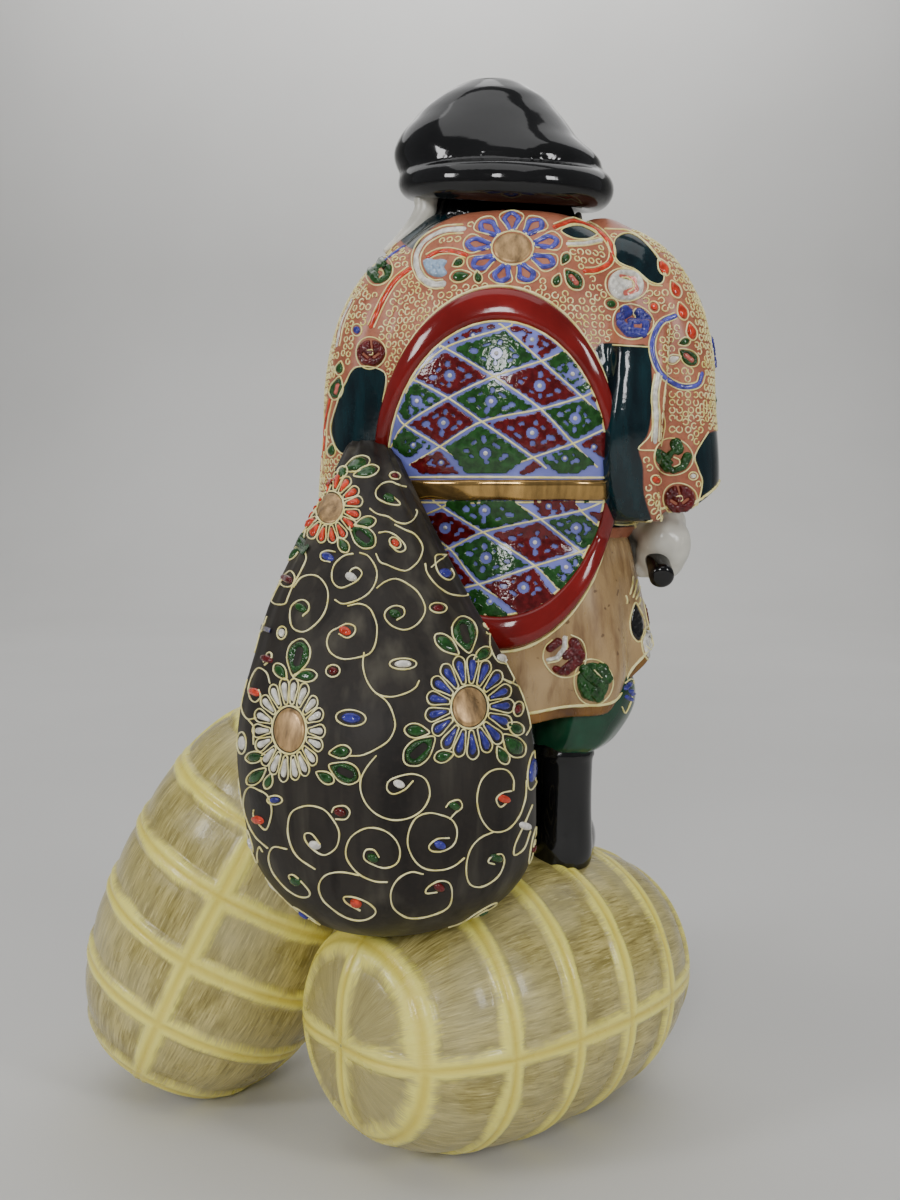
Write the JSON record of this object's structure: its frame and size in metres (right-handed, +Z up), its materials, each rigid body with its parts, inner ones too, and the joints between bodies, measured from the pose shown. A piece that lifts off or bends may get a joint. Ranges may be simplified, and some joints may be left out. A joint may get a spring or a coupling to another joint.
{
  "type": "ceramic daikoku figurine",
  "caption": "Standing glazed ceramic figure of the luck god Daikoku with a sack on the back and a mallet, on straw rice bales, its robe covered in raised enamel.",
  "frame": {"origin": "centre of the figure's box, on the surface it stands on", "axes": "+Z up; +Y the way the figure faces, so the view along +Y shows its back with the sack; +X to the figure's right hand"},
  "size_m": [0.2142, 0.1658, 0.339],
  "materials": {
    "straw_glaze": "satin straw-coloured glaze with cream ropes",
    "black_glaze": "glossy black glaze",
    "charcoal_glaze": "satin charcoal glaze under raised enamel flowers",
    "green_glaze": "glossy green glaze",
    "tan_glaze": "satin tan glaze with an ochre hem",
    "robe_enamel": "pink-brown glaze covered in raised cream, teal and flower enamels",
    "red_glaze": "glossy dark red glaze",
    "lattice_enamel": "lavender enamel with a raised cream lattice",
    "gold_lustre": "burnished gold lustre",
    "white_glaze": "glossy off-white glaze"
  },
  "bodies": {
    "root": {"bale_right": "straw_glaze", "bale_left": "straw_glaze", "boot_right": "black_glaze", "boot_left": "black_glaze", "trouser_right": "green_glaze", "trouser_left": "green_glaze", "skirt": "tan_glaze", "robe": "robe_enamel", "back_ring": "red_glaze", "back_field_upper": "lattice_enamel", "back_field_lower": "lattice_enamel", "belt_back": "gold_lustre", "sleeve_right": "robe_enamel", "sleeve_left": "robe_enamel", "mallet_handle": "black_glaze", "mallet_head": "gold_lustre", "hand_right": "white_glaze", "hand_left": "white_glaze", "sack": "charcoal_glaze", "sack_mouth": "charcoal_glaze", "cap_band": "black_glaze", "cap_crown": "black_glaze", "head": "white_glaze", "ear_right": "white_glaze", "ear_left": "white_glaze", "hair": "black_glaze", "collar": "white_glaze", "belt_front": "gold_lustre"}
  },
  "joints": []
}
